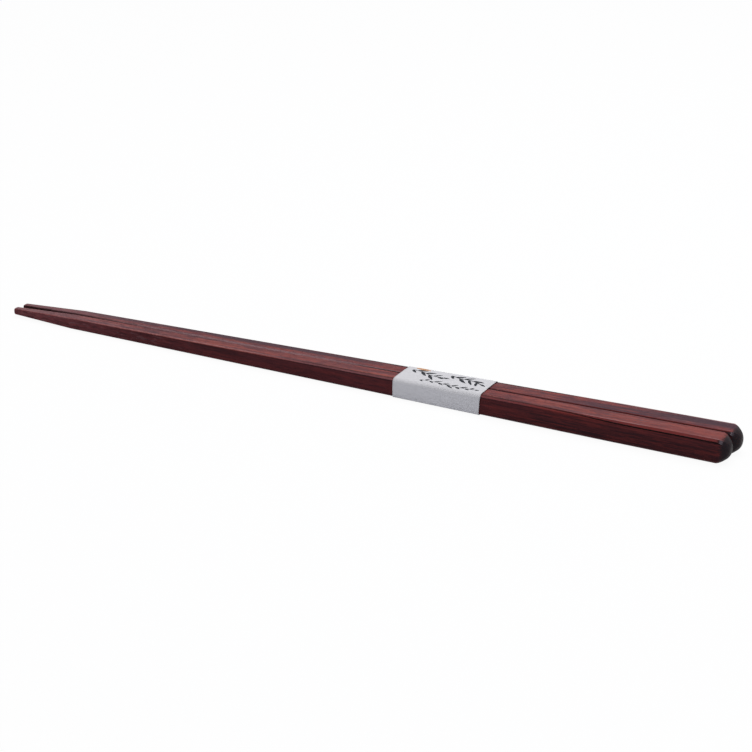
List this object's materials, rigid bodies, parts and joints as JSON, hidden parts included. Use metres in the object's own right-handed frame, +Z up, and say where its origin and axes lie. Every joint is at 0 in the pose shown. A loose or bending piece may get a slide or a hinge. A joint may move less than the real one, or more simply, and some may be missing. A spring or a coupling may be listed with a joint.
{
  "type": "pair of wooden chopsticks",
  "caption": "Square tapered wooden chopsticks with eased edges and rounded ends, lying side by side and held together near the handles by a folded paper band.",
  "frame": {"origin": "under the middle of the pair's bounding box, on the plane the bundle lies on", "axes": "+X along the sticks from the tips to the handle ends, +Y from the near stick to the far one, +Z up"},
  "size_m": [0.2356, 0.014, 0.0073],
  "materials": {
    "wood_near": "dark reddish brown hardwood, planed and lightly waxed",
    "wood_far": "dark reddish brown hardwood, planed and lightly waxed",
    "paper": "soft off-white fibrous paper, uncoated"
  },
  "bodies": {
    "root": {"chopstick_near": "wood_near", "chopstick_far": "wood_far", "paper_band": "paper"}
  },
  "joints": []
}
